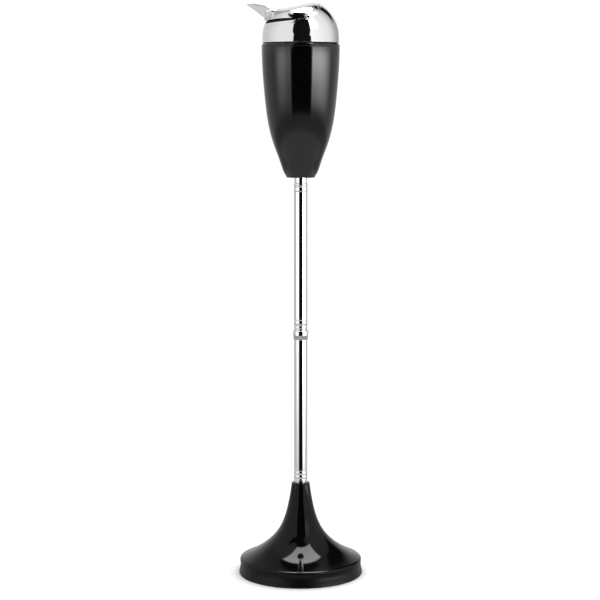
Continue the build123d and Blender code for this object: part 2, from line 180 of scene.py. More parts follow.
def chromePlate(name, tone, gloss, scratchWay, edgeShadeStrength=0.0):
    # bright nickel chrome: finger haze, hair scratches, and painted shade that darkens the bare cut edges
    # to dim their highlights
    material, graph, place = newFinish(name)
    haze = graph.fade(graph.noise(place, 46, 5.0, 0.6), 0.45, 0.75)
    lines = graph.noise(graph.stretched(place, scratchWay), 1, 3.0, 0.7)
    scratches = graph.fade(lines, 0.66, 0.74)
    rubbed = edgeWear(graph, 0.57, 0.72)
    # painted shade: the sharpest convex edges are picked out here so their colour can be darkened nearly to
    # black
    paintedEdgeShade = edgeWear(graph, 0.55, 0.61) * edgeShadeStrength
    bright = paint(tone, tone, tone * 1.01)
    dull = paint(tone * 0.93, tone * 0.93, tone * 0.92)
    colour = graph.blend(haze * 0.5 + rubbed * 0.4, bright, dull)
    # painted shade: the picked-out edges are blended towards near-black, which dims their highlights
    colour = graph.blend(paintedEdgeShade, colour, paint(0.018, 0.017, 0.016))
    roughness = gloss + haze * 0.035 + scratches * 0.05 + rubbed * 0.05 + paintedEdgeShade * 0.4
    normal = graph.bump(scratches + haze * 0.25, 0.004 * mm, 0.25)
    surface(graph, {"Base Color": colour, "Metallic": 1.0, "Roughness": roughness, "Normal": normal})
    return material


def zincSteel(name):
    # zinc plating: faint straw and blue clouds over a rolled grain, with worn corners
    material, graph, place = newFinish(name)
    cloud = graph.noise(place, 60, 4.0)
    grain = graph.noise(graph.stretched(place, (900, 900, 90)), 1, 3.0)
    rubbed = edgeWear(graph, 0.54, 0.66)
    colour = graph.blend(cloud, paint(0.56, 0.55, 0.50), paint(0.60, 0.63, 0.68))
    colour = graph.blend(rubbed * 0.6, colour, paint(0.74, 0.74, 0.73))
    roughness = 0.28 + grain * 0.2 + cloud * 0.1
    normal = graph.bump(grain, 0.02 * mm, 0.4)
    surface(graph, {"Base Color": colour, "Metallic": 1.0, "Roughness": roughness, "Normal": normal})
    return material


def galvanisedSheet(name):
    # hot-dip spangle: flat crystal facets, each its own grey, under clouds of thin ash film
    material, graph, place = newFinish(name)
    cells = {"Vector": place, "Scale": 150, "Randomness": 1.0}
    facet = graph.node("ShaderNodeTexVoronoi", {"feature": "F1"}, cells, output=1)
    shade = graph.node("ShaderNodeSeparateColor", None, {"Color": facet})
    cloud = graph.noise(place, 40, 5.0)
    film = graph.fade(cloud, 0.5, 0.8)
    colour = graph.blend(shade, paint(0.42, 0.44, 0.46), paint(0.64, 0.66, 0.68))
    colour = graph.blend(film * 0.35, colour, paint(0.22, 0.21, 0.20))
    roughness = 0.26 + shade * 0.16 + film * 0.2
    normal = graph.bump(shade + graph.noise(place, 700, 3.0) * 0.5, 0.02 * mm, 0.4)
    surface(graph, {"Base Color": colour, "Metallic": 0.95, "Roughness": roughness, "Normal": normal})
    return material


def castIron(name):
    material, graph, place = newFinish(name)
    coarse = graph.noise(place, 260, 6.0, 0.65)
    pits = graph.fade(graph.noise(place, 900, 2.0), 0.36, 0.28)
    rust = graph.fade(graph.noise(place, 75, 6.0, 0.7), 0.55, 0.75)
    colour = graph.blend(coarse, paint(0.022, 0.022, 0.023), paint(0.07, 0.068, 0.066))
    colour = graph.blend(rust * 0.5, colour, paint(0.14, 0.055, 0.025))
    normal = graph.bump(coarse - pits * 0.6, 0.25 * mm, 0.7)
    roughness = 0.62 + rust * 0.25
    surface(graph, {"Base Color": colour, "Metallic": 0.35, "Roughness": roughness, "Normal": normal})
    return material


def moulded(name, dark, light, gloss, grainSize, grainDepth):
    # rubber and plastic: moulded grain, cloudy bloom, paler rubbed edges
    material, graph, place = newFinish(name)
    grain = graph.noise(place, grainSize, 4.0, 0.6)
    bloom = graph.fade(graph.noise(place, 55, 4.0), 0.4, 0.75)
    rubbed = edgeWear(graph, 0.54, 0.68)
    colour = graph.blend(bloom * 0.7 + rubbed * 0.3, dark, light)
    roughness = gloss + bloom * 0.12 + grain * 0.1
    normal = graph.bump(grain, grainDepth, 0.6)
    surface(graph, {"Base Color": colour, "Roughness": roughness, "Normal": normal, "IOR": 1.2})
    return material


finishes = {
    "gloss_black": enamel(
        "blackEnamelBase", 0.055, 0.03, 1.27, (2 * mm, 60 * mm), scuffLine=(12.5 * mm, 15.0 * mm),
    ),
    "gloss_black_bin": enamel("blackEnamelBin", 0.10, 0.03, 1.5, (470 * mm, 500 * mm)),
    "chrome_tube": chromePlate("chromeTube", 0.78, 0.035, (260, 260, 12)),
    "chrome_trim": chromePlate("chromeTrim", 0.78, 0.04, (60, 60, 500)),
    # the head and the lid get painted shade on their bare cut edges (the 0.97)
    "chrome_head": chromePlate("chromeHead", 0.78, 0.03, (90, 90, 600), 0.97),
    "chrome_lid": chromePlate("chromeLid", 0.78, 0.035, (60, 420, 300), 0.97),
    "zinc_steel": zincSteel("zincSteel"),
    "steel_rivet": chromePlate("rivetSteel", 0.72, 0.12, (500, 60, 500)),
    "galvanised": galvanisedSheet("galvanisedSheet"),
    "cast_iron": castIron("castIron"),
    "black_rubber": moulded(
        "blackRubber", paint(0.005, 0.005, 0.005), paint(0.016, 0.0155, 0.015), 0.66, 900, 0.04 * mm,
    ),
    "black_plastic": moulded(
        "blackPlastic", paint(0.010, 0.010, 0.011), paint(0.026, 0.026, 0.027), 0.34, 1300, 0.02 * mm,
    ),
    "pale_nylon": moulded(
        "paleNylon", paint(0.62, 0.60, 0.54), paint(0.74, 0.73, 0.68), 0.36, 1100, 0.02 * mm,
    ),
}
print("finishes made:", len(finishes))


# shaping: outlines and curves are in mm, and become metres where their mesh is made
def spanOf(node):  # outer radius, bottom and top of a turned CAD node, in mm
    low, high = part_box(node)
    return high.x / mm, low.z / mm, high.z / mm


def batten(points, startWay, endWay, steps):
    # a smooth curve through the points, the way a thin batten bends, held in a direction at both ends
    stops = np.array(points, float)
    spans = np.linalg.norm(np.diff(stops, axis=0), axis=1)
    count = len(stops)
    system, wanted = np.eye(count), np.zeros_like(stops)
    wanted[0] = np.array(startWay) / np.linalg.norm(startWay)
    wanted[-1] = np.array(endWay) / np.linalg.norm(endWay)
    for i in range(1, count - 1):
        before, after = spans[i - 1], spans[i]
        system[i, i - 1:i + 2] = after, 2 * (before + after), before
        rise = after / before * (stops[i] - stops[i - 1]) + before / after * (stops[i + 1] - stops[i])
        wanted[i] = 3 * rise
    ways = np.linalg.solve(system, wanted)
    curve = []
    for i, span in enumerate(spans):
        for k in range(steps if i < count - 2 else steps + 1):
            t = k / steps
            a, b = 2 * t**3 - 3 * t**2 + 1, t**3 - 2 * t**2 + t
            c, d = 3 * t**2 - 2 * t**3, t**3 - t**2
            here = a * stops[i] + b * span * ways[i] + c * stops[i + 1] + d * span * ways[i + 1]
            curve.append(tuple(here))
    return curve


def eased(corners, steps=5):
    # a closed outline; a corner with a third number is rounded to that radius
    outline = []
    for i, corner in enumerate(corners):
        here = Vector(corner[:2])
        if len(corner) == 2:
            outline.append(here)
            continue
        back = Vector(corners[i - 1][:2]) - here
        ahead = Vector(corners[(i + 1) % len(corners)][:2]) - here
        half = back.angle(ahead) / 2
        cut = min(corner[2] / math.tan(half), 0.48 * back.length, 0.48 * ahead.length)
        radius = cut * math.tan(half)
        middle = here + (back.normalized() + ahead.normalized()).normalized() * (radius / math.sin(half))
        start = here + back.normalized() * cut - middle
        end = here + ahead.normalized() * cut - middle
        turn = math.atan2(start.cross(end), start.dot(end))
        for k in range(steps + 1):
            outline.append(middle + Matrix.Rotation(turn * k / steps, 2) @ start)
    return outline


def wallInside(curve, wall):
    # the same curve one wall thickness nearer the axis, for a curve that runs down
    inner = []
    for i in range(len(curve)):
        way = Vector(curve[min(i + 1, len(curve) - 1)]) - Vector(curve[max(i - 1, 0)])
        way.normalize()
        inner.append((curve[i][0] + way.y * wall, curve[i][1] - way.x * wall))
    return inner


def closedRings(rings, loopAlong=True):
    # a mesh from rings of points, each ring closed; rings of one repeated point shrink to a single vertex
    mesh = bmesh.new()
    rows = []
    for ring in rings:
        if max((point - ring[0]).length for point in ring) < 1e-9:
            rows.append([mesh.verts.new(ring[0])] * len(ring))
        else:
            rows.append([mesh.verts.new(point) for point in ring])
    pairs = len(rows) if loopAlong else len(rows) - 1
    for i in range(pairs):
        low, high = rows[i], rows[(i + 1) % len(rows)]
        for k in range(len(low)):
            n = (k + 1) % len(low)
            corners = list(dict.fromkeys((low[k], low[n], high[n], high[k])))
            if len(corners) > 2:
                mesh.faces.new(corners)
    bmesh.ops.recalc_face_normals(mesh, faces=mesh.faces)
    return mesh


def intoObject(mesh, name):
    data = bpy.data.meshes.new(name)
    mesh.to_mesh(data)
    mesh.free()
    piece = bpy.data.objects.new(name, data)
    scene.collection.objects.link(piece)
    return piece


def settle(piece, body, slot, *nodes):
    # smooth shading that keeps flat faces flat, the finish, and its place on a CAD body
    piece.data.polygons.foreach_set("use_smooth", [True] * len(piece.data.polygons))
    evener = piece.modifiers.new("evenNormals", "WEIGHTED_NORMAL")
    evener.weight = 50
    evener.keep_sharp = True
    piece.data.materials.clear()
    piece.data.materials.append(finishes[slot])
    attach(piece, body)
    if nodes:
        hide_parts(*nodes)
    return piece


def turned(name, outline, around=144):
    # spins a closed outline of (radius, height) in mm round the axis
    rings = []
    for radius, height in outline:
        ring = []
        for k in range(around):
            turn = 2 * math.pi * k / around
            ring.append(Vector((radius * math.cos(turn), radius * math.sin(turn), height)) * mm)
        rings.append(ring)
    return intoObject(closedRings(rings), name)


# base: a spun trumpet with an upright wall, on a rubber ring
base = {
    "neckR": 10.7,
    "shoulderR": 73.25,
    "waistR": 72.7,
    "waistAt": 0.62,         # height of the waist, as a share of the wall's
    "wallH": 16.5,
    "sheet": 1.2,
    "rodHoleR": 4.05,
    "neckRound": 0.7,
    # the flare, from the neck down: how far out and how far up, as shares
    "flare": [(0, 1), (0.08, 0.69), (0.265, 0.375), (0.635, 0.143), (0.94, 0.035), (1, 0)],
}
baseR, baseFoot, baseTop = spanOf("base_shell")


def flare(spread, rise):
    radius = base["neckR"] + spread * (base["shoulderR"] - base["neckR"])
    return radius, base["wallH"] + rise * (baseTop - base["wallH"])


trumpet = batten([flare(*shares) for shares in base["flare"]], (0.13, -1), (0.05, -1), 16)
waist = (base["waistR"], base["wallH"] * base["waistAt"])
baseWall = batten([trumpet[-1], waist, (baseR, baseFoot)], (-0.05, -1), (0.1, -1), 8)
baseSide = trumpet + baseWall[1:]
baseLining = wallInside(baseSide, base["sheet"])
baseOutline = [
    (base["rodHoleR"], baseTop, 0.2),
    (base["neckR"] - 0.05, baseTop, base["neckRound"]),
    *baseSide[1:-1],
    (baseR, baseFoot, 0.4),
    (baseLining[-1][0], baseFoot, 0.3),
    *reversed(baseLining[2:-1]),
    (base["neckR"] - base["sheet"], baseTop - base["sheet"], 0.3),
    (base["rodHoleR"], baseTop - base["sheet"], 0.2),
]
settle(turned("baseShell", eased(baseOutline), 192), "stand", "gloss_black", "base_shell")

foot = {
    "ringW": 12.0,
    "treadRound": 0.8,
    "topRound": 0.4,
    "grooves": 3,            # grip grooves under the ring, from its inner edge out
    "groovePitch": 3.0,
    "grooveDeep": 0.8,
    "grooveHalf": (0.7, 0.4),   # half its width at the mouth and at the bottom
}
footR, footLow, footHigh = spanOf("foot_ring")
footInner = footR - foot["ringW"]
footOutline = [
    (footR, footLow, foot["treadRound"]), (footR, footHigh, foot["topRound"]),
    (footInner, footHigh, foot["topRound"]), (footInner, footLow, foot["treadRound"]),
]
mouthHalf, bottomHalf = foot["grooveHalf"]
for k in range(foot["grooves"]):
    middle = footInner + foot["groovePitch"] * (k + 1)
    for aside, deep in ((-mouthHalf, 0), (-bottomHalf, 1), (bottomHalf, 1), (mouthHalf, 0)):
        footOutline.append((middle + aside, footLow + foot["grooveDeep"] * deep, 0.2))
settle(turned("footRing", eased(footOutline, 3)), "stand", "black_rubber", "foot_ring")
print("base made")

# tubes: drawn steel with rolled beads and crimps near the joints
tubes = {
    "radius": 8.0,
    "wall": 1.0,
    "beadProud": 0.25,
    "beadHalf": 1.6,
    "crimpDeep": 0.35,
    "crimpHalf": 0.8,
    "lowerBeads": (3.92, 8.82),             # up from the foot of the lower tube
    "lowerCrimps": (1.47, 6.37, 11.27),
    "upperBead": 8.8,                       # up from the foot of the upper tube
    "upperCrimps": (0.95, 2.8, 5.8, 12.4),
    "topBeads": (1.9, 8.6),                 # down from the top of the upper tube
    "topCrimp": 4.8,
}


def tube(name, node, beads, crimps):
    # beads and crimps are heights; their slopes ease in and out, as rolled metal does
    low, high = spanOf(node)[1:]
    heights = set(np.linspace(low + 0.5, high - 0.5, 24))
    rolled = [(z, tubes["beadHalf"]) for z in beads] + [(z, tubes["crimpHalf"]) for z in crimps]
    for middle, half in rolled:
        heights |= {middle + half * 1.25 * share for share in np.linspace(-1, 1, 15)}
    side = []
    for z in sorted(z for z in heights if low + 0.4 < z < high - 0.4):
        radius = tubes["radius"]
        for middle in beads:
            radius += tubes["beadProud"] * max(0, 1 - ((z - middle) / tubes["beadHalf"]) ** 2) ** 1.5
        for middle in crimps:
            radius -= tubes["crimpDeep"] * max(0, 1 - ((z - middle) / tubes["crimpHalf"]) ** 2) ** 1.5
        side.append((radius, z))
    inner = tubes["radius"] - tubes["wall"]
    outline = [(inner, low, 0.2), (tubes["radius"], low, 0.3), *side]
    outline += [(tubes["radius"], high, 0.3), (inner, high, 0.2)]
    return settle(turned(name, eased(outline, 3), 96), "stand", "chrome_tube", node)


lowerFoot, lowerTop = spanOf("lower_tube")[1:]
upperFoot, upperTop = spanOf("upper_tube")[1:]
tube(
    "lowerTube", "lower_tube",
    [lowerFoot + up for up in tubes["lowerBeads"]],
    [lowerFoot + up for up in tubes["lowerCrimps"]],
)
tube(
    "upperTube", "upper_tube",
    [upperFoot + tubes["upperBead"]] + [upperTop - down for down in tubes["topBeads"]],
    [upperFoot + up for up in tubes["upperCrimps"]] + [upperTop - tubes["topCrimp"]],
)

trim = {
    "boreR": 4.05,
    "socketR": 8.05,         # the lower tube ends in this
    "topR": 7.0,
    "taperR": 8.45,          # where the collar's taper ends
    "land": 5.5,             # straight part of the collar
    "landRound": 1.2,
    "topRound": 0.7,
    "ferruleRound": 0.45,
}
collarR, collarLow, collarHigh = spanOf("joint_collar")
collarOutline = [
    (trim["topR"], collarHigh, 0.2), (collarR, collarHigh, trim["topRound"]),
    (collarR, collarHigh - trim["land"], trim["landRound"]), (trim["taperR"], collarLow, 0.2),
    (trim["socketR"], collarLow, 0.1), (trim["socketR"], lowerTop, 0.1),
    (trim["boreR"], lowerTop, 0.1), (trim["boreR"], collarHigh, 0.2),
]
settle(turned("jointCollar", eased(collarOutline), 96), "stand", "chrome_trim", "joint_collar")
for name, node in (("baseFerrule", "base_ferrule"), ("topFerrule", "top_ferrule")):
    radius, low, high = spanOf(node)
    outline = [
        (trim["boreR"], low, 0.2), (radius, low, trim["ferruleRound"]),
        (radius, high, trim["ferruleRound"]), (trim["boreR"], high, 0.2),
    ]
    settle(turned(name, eased(outline), 96), "stand", "chrome_trim", node)
print("tubes made")

# bin: an egg cut off at the rim, with the rim rolled inwards
egg = {
    "footR": 16.6,
    "footRound": 0.8,
    "sheet": 1.2,
    "floorT": 2.0,
    "rodHoleR": 4.05,
    "rimCorner": 3.2,
    "rimLip": 0.7,
    "rimSlope": (1.9, 2.6),  # the rolled corner ends in a slope: how far in and how far down
    "rimSlopeRound": 3.0,
    "rimLine": (5.0, 0.55, 0.14),   # a rolled line: how far down, half its height, how deep
    # the side, from the rim down: how far out and how far up, as shares
    "side": [(0.966, 0.796), (0.884, 0.609), (0.744, 0.407), (0.529, 0.251), (0.266, 0.117), (0, 0.006)],
}
binR, binFoot, binRim = spanOf("bin_body")
sidePoints = [(binR, binRim - egg["rimCorner"])]
for spread, rise in egg["side"]:
    radius = egg["footR"] + spread * (binR - egg["footR"])
    sidePoints.append((radius, binFoot + rise * (binRim - binFoot)))
binSide = batten(sidePoints, (0, -1), (-0.85, -1), 12)
binLining = wallInside(binSide, egg["sheet"])
lineDown, lineHalf, lineDeep = egg["rimLine"]
lineSpots = [(binR, binRim - lineDown + lineHalf * k / 4) for k in range(-6, 7)]
binSkin = []
for radius, height in sorted(binSide[1:-1] + lineSpots, key=lambda spot: -spot[1]):
    share = (height - binRim + lineDown) / lineHalf
    binSkin.append((radius - lineDeep * max(0, 1 - share**2), height))
lipR = binR - egg["rimCorner"] - egg["rimLip"]
slopeIn, slopeDown = egg["rimSlope"]
binOutline = [
    (lipR, binRim, 0.25),
    (binR - slopeIn, binRim, 0.3),
    (binR, binRim - slopeDown, egg["rimSlopeRound"]),
    *binSkin,
    (egg["footR"], binFoot, egg["footRound"]),
    (egg["rodHoleR"], binFoot, 0.2),
    (egg["rodHoleR"], binFoot + egg["floorT"], 0.2),
    (egg["footR"] - egg["sheet"], binFoot + egg["floorT"], egg["footRound"]),
    *reversed(binLining[1:-3]),
    (binR - egg["sheet"], binRim - egg["sheet"], egg["rimCorner"] - egg["sheet"]),
    (lipR, binRim - egg["sheet"], 0.25),
]
settle(turned("binBody", eased(binOutline, 8), 192), "stand", "gloss_black_bin", "bin_body")

# bucket: tapered, with a turned-out rim and a raised floor
bucket = {
    "footR": 21.0,
    "footRound": 2.0,
    "floorUp": 1.0,
    "floorRing": (3.0, 4.0),    # the standing ring's inner edge, in from the side, at the floor and above
    "sheet": 0.8,
    "rimW": 2.0,
    "rimT": 1.2,
    "rimRound": 0.55,
}
bucketR, bucketFoot, bucketRim = spanOf("ash_bucket")
bucketMouth = bucketR - bucket["rimW"]
underRim = bucketRim - bucket["rimT"]
floorTop = bucketFoot + (bucket["floorUp"] + bucket["sheet"])
ringIn, ringInAbove = bucket["floorRing"]
bucketOutline = [
    (0, bucketFoot + bucket["floorUp"]),
    (bucket["footR"] - ringInAbove, bucketFoot + bucket["floorUp"], 0.5),
    (bucket["footR"] - ringIn, bucketFoot, 0.5),
    (bucket["footR"], bucketFoot, bucket["footRound"]),
    (bucketMouth, underRim, 0.5),
    (bucketR, underRim, bucket["rimRound"]),
    (bucketR, bucketRim, bucket["rimRound"]),
    (bucketMouth - bucket["sheet"], bucketRim, 0.7),
    (bucket["footR"] - bucket["sheet"], floorTop, 1.6),
    (0, floorTop),
]
settle(turned("ashBucket", eased(bucketOutline, 6), 144), "bucket", "galvanised", "ash_bucket")
print("bin and bucket made")

# head: a spun ball on a short skirt, open in front under the lid and closed behind it by a fixed hood
head = {
    "skirt": 6.2,            # straight part under the ball's equator
    "sheet": 0.8,
    "mouth": (4.0, 19.3),    # corner of the mouth, from the ball's centre
    "mouthSlope": 0.087,
    "mouthSoft": 0.9,
    "hood": (20.7, 31.5),    # front edge of the fixed hood, and where it starts
    "pivot": (8.3, 21.4),
    "bossR": 4.0,
    "bossDeep": 5.7,
    "seatR": 2.45,
    "seatDeep": 1.0,
    "edgeRound": 0.04,
    "beadIn": 2.6,           # a pressed line this far under the mouth's edge
    "beadDeep": 0.22,
    "beadWidth": 0.55,
    "around": 240,
}
ballR, domeLow = spanOf("dome")[:2]
ballZ = domeLow + head["skirt"]
pivotX, pivotZ = head["pivot"]
wallY = math.sqrt(ballR**2 - pivotX**2 - pivotZ**2)


def softest(values, soft):  # the largest value, with the change-over rounded
    most = max(values)
    return soft * math.log(sum(math.exp((value - most) / soft) for value in values)) + most


def mouthLine(x):
    return head["mouth"][1] + head["mouthSlope"] * (x - head["mouth"][0])


def belowMouth(x, z):  # above 0 where the ball's sheet stays, below 0 in the mouth
    (mouthX, mouthZ), (hoodX, hoodZ) = head["mouth"], head["hood"]
    slant = (hoodZ - mouthZ) / (hoodX - mouthX)
    slanted = (mouthZ + slant * (x - mouthX) - z) / math.hypot(1, slant)
    return softest([mouthLine(x) - z, slanted, x - hoodX], head["mouthSoft"])


def mouthRise(turn):  # how high up the ball the sheet reaches on this side, as an angle
    low, high = 0.0, math.pi / 2
    for _ in range(36):
        middle = (low + high) / 2
        x = ballR * math.cos(middle) * math.cos(turn)
        if belowMouth(x, ballR * math.sin(middle)) > 0:
            low = middle
        else:
            high = middle
    return low


def onBall(turn, rise, radius):
    return Vector((
        radius * math.cos(rise) * math.cos(turn),
        radius * math.cos(rise) * math.sin(turn),
        radius * math.sin(rise) + ballZ,
    ))


def domeColumn(turn):
    # one strip of the head: up the outside, over the edge, and down the inside
    rise = mouthRise(turn)
    inner = ballR - head["sheet"]
    cut = head["edgeRound"]
    flat = Vector((math.cos(turn), math.sin(turn), 0))
    column = []
    skirtFoot = ((inner + 0.1, 0.02), (inner + 0.2, 0.0), (ballR - 0.06, 0.0), (ballR - 0.02, 0.04))
    for radius, height in skirtFoot:
        column.append(flat * radius + Vector((0, 0, domeLow + height)))
    for share in (0.012, 0.03, 0.2, 0.5, 0.8):
        column.append(flat * ballR + Vector((0, 0, domeLow + head["skirt"] * share)))
    edge = rise - cut / ballR
    shares = [k / 40 for k in range(36)] + [0.9 + 0.1 * k / 14 for k in range(15)]  # closer near the edge
    for share in shares:
        away = (1 - share) * edge * ballR - head["beadIn"]
        pressed = head["beadDeep"] * math.exp(-((away / head["beadWidth"]) ** 2))
        column.append(onBall(turn, edge * share, ballR - pressed))
    for middle, start in ((ballR - cut, 0), (inner + cut, math.pi / 2)):
        for k in range(4):
            swing = start + math.pi / 2 * k / 3
            climb = edge + cut * math.sin(swing) / ballR
            column.append(onBall(turn, climb, middle + cut * math.cos(swing)))
    for share in reversed(shares[:-1:2]):
        column.append(onBall(turn, edge * share, inner))
    for share in (0.6, 0.2):
        column.append(flat * inner + Vector((0, 0, domeLow + head["skirt"] * share)))
    return [point * mm for point in column]


def pinBetween(name, radius, near, far, ease=0.2, crown=0.0, around=48):
    # a pair of round pins on the hinge axis, one each side; crown domes the outer end
    rims = [(0, near), (radius, near, ease), (radius, far, ease)]
    if crown:
        rims += [(radius * 0.75, far + crown * 0.5), (radius * 0.4, far + crown * 0.88)]
    rims.append((0, far + crown))
    rings = []
    for distance, along in eased(rims, 4):
        ring = []
        for k in range(around):
            turn = 2 * math.pi * k / around
            x, z = pivotX + distance * math.cos(turn), ballZ + pivotZ + distance * math.sin(turn)
            ring.append(Vector((x, along, z)) * mm)
        rings.append(ring)
    mesh = closedRings(rings, loopAlong=False)
    both = bmesh.ops.duplicate(mesh, geom=mesh.verts[:] + mesh.edges[:] + mesh.faces[:])["geom"]
    for vertex in both:
        if isinstance(vertex, bmesh.types.BMVert):
            vertex.co.y *= -1
    bmesh.ops.recalc_face_normals(mesh, faces=mesh.faces)
    return intoObject(mesh, name)


def carve(piece, tool, operation):  # joins or cuts with another solid, and throws the tool away
    change = piece.modifiers.new("carve", "BOOLEAN")
    change.operation = operation
    change.solver = "EXACT"
    change.object = tool
    made = piece.evaluated_get(bpy.context.evaluated_depsgraph_get())
    shaped = bpy.data.meshes.new_from_object(made)
    piece.modifiers.clear()
    piece.data = shaped
    bpy.data.objects.remove(tool)


columns = [domeColumn(2 * math.pi * k / head["around"]) for k in range(head["around"])]
dome = intoObject(closedRings([list(row) for row in zip(*columns)]), "dome")
bosses = pinBetween("bosses", head["bossR"], wallY - head["bossDeep"], ballR)
for vertex in bosses.data.vertices:  # the bosses end inside the ball's wall
    x, y, z = vertex.co.x / mm, vertex.co.y / mm, vertex.co.z / mm - ballZ
    reach = math.sqrt((ballR - head["sheet"] * 0.6) ** 2 - x**2 - z**2)
    vertex.co.y = math.copysign(min(abs(y), reach), y) * mm
carve(dome, bosses, "UNION")
carve(dome, pinBetween("seats", head["seatR"], wallY - head["seatDeep"], ballR + 2), "DIFFERENCE")
settle(dome, "head", "chrome_head", "dome")

rivet = {"headR": 2.35, "crown": 0.42, "shankR": 1.5, "past": 3.0}   # past: the shank beyond the boss
seatY = wallY - head["seatDeep"]
rivets = pinBetween("pivotRivets", rivet["headR"], seatY + 0.02, wallY - 0.2, 0.25, rivet["crown"])
shanks = pinBetween("shanks", rivet["shankR"], wallY - head["bossDeep"] - rivet["past"], wallY - 0.8, 0.1)
carve(rivets, shanks, "UNION")
settle(rivets, "head", "steel_rivet", "pivot_rivets")

spigot = {"wall": 1.4, "slack": 0.3}
sealR, sealLow, sealHigh = spanOf("head_seal")
spigotR, spigotLow, spigotHigh = spanOf("spigot_ring")
plugR = lipR - spigot["slack"]
plugInner = plugR - spigot["wall"]
spigotOutline = [
    (plugInner, spigotLow, 0.3), (plugR, spigotLow, 0.5), (plugR, sealHigh, 0.2),
    (spigotR, sealHigh, 0.2), (spigotR, spigotHigh, 0.4), (plugInner, spigotHigh, 0.3),
]
settle(turned("spigotRing", eased(spigotOutline), 144), "head", "black_plastic", "spigot_ring")
sealInner = plugR + 0.05
sealOutline = [
    (sealInner, sealLow, 0.2), (sealR, sealLow, 0.35),
    (sealR, sealHigh, 0.35), (sealInner, sealHigh, 0.2),
]
settle(turned("headSeal", eased(sealOutline), 144), "head", "black_rubber", "head_seal")
print("head made")

# lid: a saddle-shaped cover cut from the same ball, with a thumb tab brazed on
lid = {
    "edgeGap": 2.2,          # over the mouth's edge at the hinge
    "frontGap": 1.6,         # and this much more at the front
    "rearEdge": 27.0,
    "rear": 24.0,
    "sheet": 1.2,
    "tuck": 1.2,             # the flanks run this far inside the ball at the hood
    "tuckFrom": -12.0,
    "tuckRun": 15.0,
    "crossCurve": (29.0, 95.0, 78.0),   # radius of the saddle across: front, middle and hood
    "soft": 0.7,             # how soft the saddle meets the ball
    "edgeRound": 0.45,
    "middleX": -8.0,
    "around": 256,
    "earT": 1.5,
    "earR": 4.2,
    # the ridge from front to back: along, and up from the ball's centre
    "ridge": [
        (-60, 36), (-34, 33.6), (-26, 33.5), (-18, 34.0), (-8, 36.2),
        (2, 38.3), (10, 39.8), (17, 40.9), (30, 43.5),
    ],
}
ridge = batten(lid["ridge"], (1, -0.1), (1, 0.2), 8)
ridgeX = [point[0] for point in ridge]
ridgeZ = [point[1] for point in ridge]


def easeBetween(value, low, high):
    share = min(1, max(0, (value - low) / (high - low)))
    return share**2 * (3 - 2 * share)


def lidRadius(x):
    return ballR - lid["tuck"] * easeBetween(x, lid["tuckFrom"], lid["tuckFrom"] + lid["tuckRun"])


def seamGap(x):
    return lid["edgeGap"] + lid["frontGap"] * easeBetween(-x, 0, 28)


def lidEdge(x):
    corner = head["mouth"][0]
    ahead = mouthLine(min(x, corner)) + seamGap(x)
    return ahead + easeBetween(x, corner, corner + 10) * (lid["rearEdge"] - ahead)


def lidTop(x, y, inset=0.0):
    # height over the ball's centre: the ball pared down by a saddle
    radius = lidRadius(x) - inset
    ball = math.sqrt(max(radius**2 - x**2 - y**2, 1e-6))
    front, middle, rear = lid["crossCurve"]
    across = front + (middle - front) * easeBetween(x, -33, -14)
    across += (rear - middle) * easeBetween(x, -10, 14)
    saddle = float(np.interp(x, ridgeX, ridgeZ)) - inset - y**2 / (2 * across)
    return -softest([-ball, -saddle], lid["soft"])


def lidOutline(turn, inset=0.0):
    # where a ray from the middle of the lid meets its lower edge, in plan
    middle = Vector((lid["middleX"], 0.0))
    way = Vector((math.cos(turn), math.sin(turn)))
    low, high = 0.0, 70.0
    for _ in range(36):
        reach = (low + high) / 2
        x, y = middle + way * reach
        radius = lidRadius(x) - inset
        inside = radius**2 - x**2 - y**2
        if inside > 0 and math.sqrt(inside) > lidEdge(x) and x < lid["rear"]:
            low = reach
        else:
            high = reach
    return middle, way, low


def lidColumn(turn):
    # one strip of the lid: from its middle down the outside, round the edge, and back up the inside
    shares = [math.sin(math.pi / 2 * k / 44) for k in range(45)]
    sides = []
    for inset in (0.0, lid["sheet"]):
        middle, way, reach = lidOutline(turn, inset)
        side = []
        for share in shares:
            x, y = middle + way * (reach * share)
            side.append(Vector((x, y, ballZ + lidTop(x, y, inset))))
        sides.append(side)
    outside, inside = sides
    edge = []
    for k in range(1, 5):
        share = k / 5
        drop = Vector((0, 0, lid["edgeRound"] * math.sin(math.pi * share)))
        edge.append(outside[-1].lerp(inside[-1], share) - drop)
    return [point * mm for point in outside + edge + inside[::-1]]


# a boat's lines for the thumb tab, and for the lid's brow that it grows from: place along, half width, rim
# height, dish and keel height; the brow is crowned, so its dish is below 0
tabLines = [
    (-62.2, 0.9, 38.3, 0.1, 37.5),
    (-57, 5.0, 38.9, 0.8, 33.7),
    (-51, 8.6, 38.6, 1.6, 29.4),
    (-45.5, 11.2, 37.4, 1.8, 25.1),
    (-40, 12.4, 35.4, 1.5, 21.6),
    (-35, 12.6, 33.4, 0.8, 20.8),
]
browLines = [
    (-42.3, 7.0, 24.0, -2.2, 20.2),
    (-41.4, 10.5, 28.6, -2.4, 20.0),
    (-39.6, 13.2, 31.4, -2.2, 19.9),
    (-36.5, 15.0, 32.0, -1.9, 19.9),
    (-31, 16.5, 31.6, -1.8, 19.9),
    (-25, 16.5, 30.8, -1.8, 19.9),
]


def bezier(p, q, r, s, t):
    return tuple(
        (1 - t) ** 3 * a + 3 * t * (1 - t) ** 2 * b + 3 * t**2 * (1 - t) * c + t**3 * d
        for a, b, c, d in zip(p, q, r, s)
    )


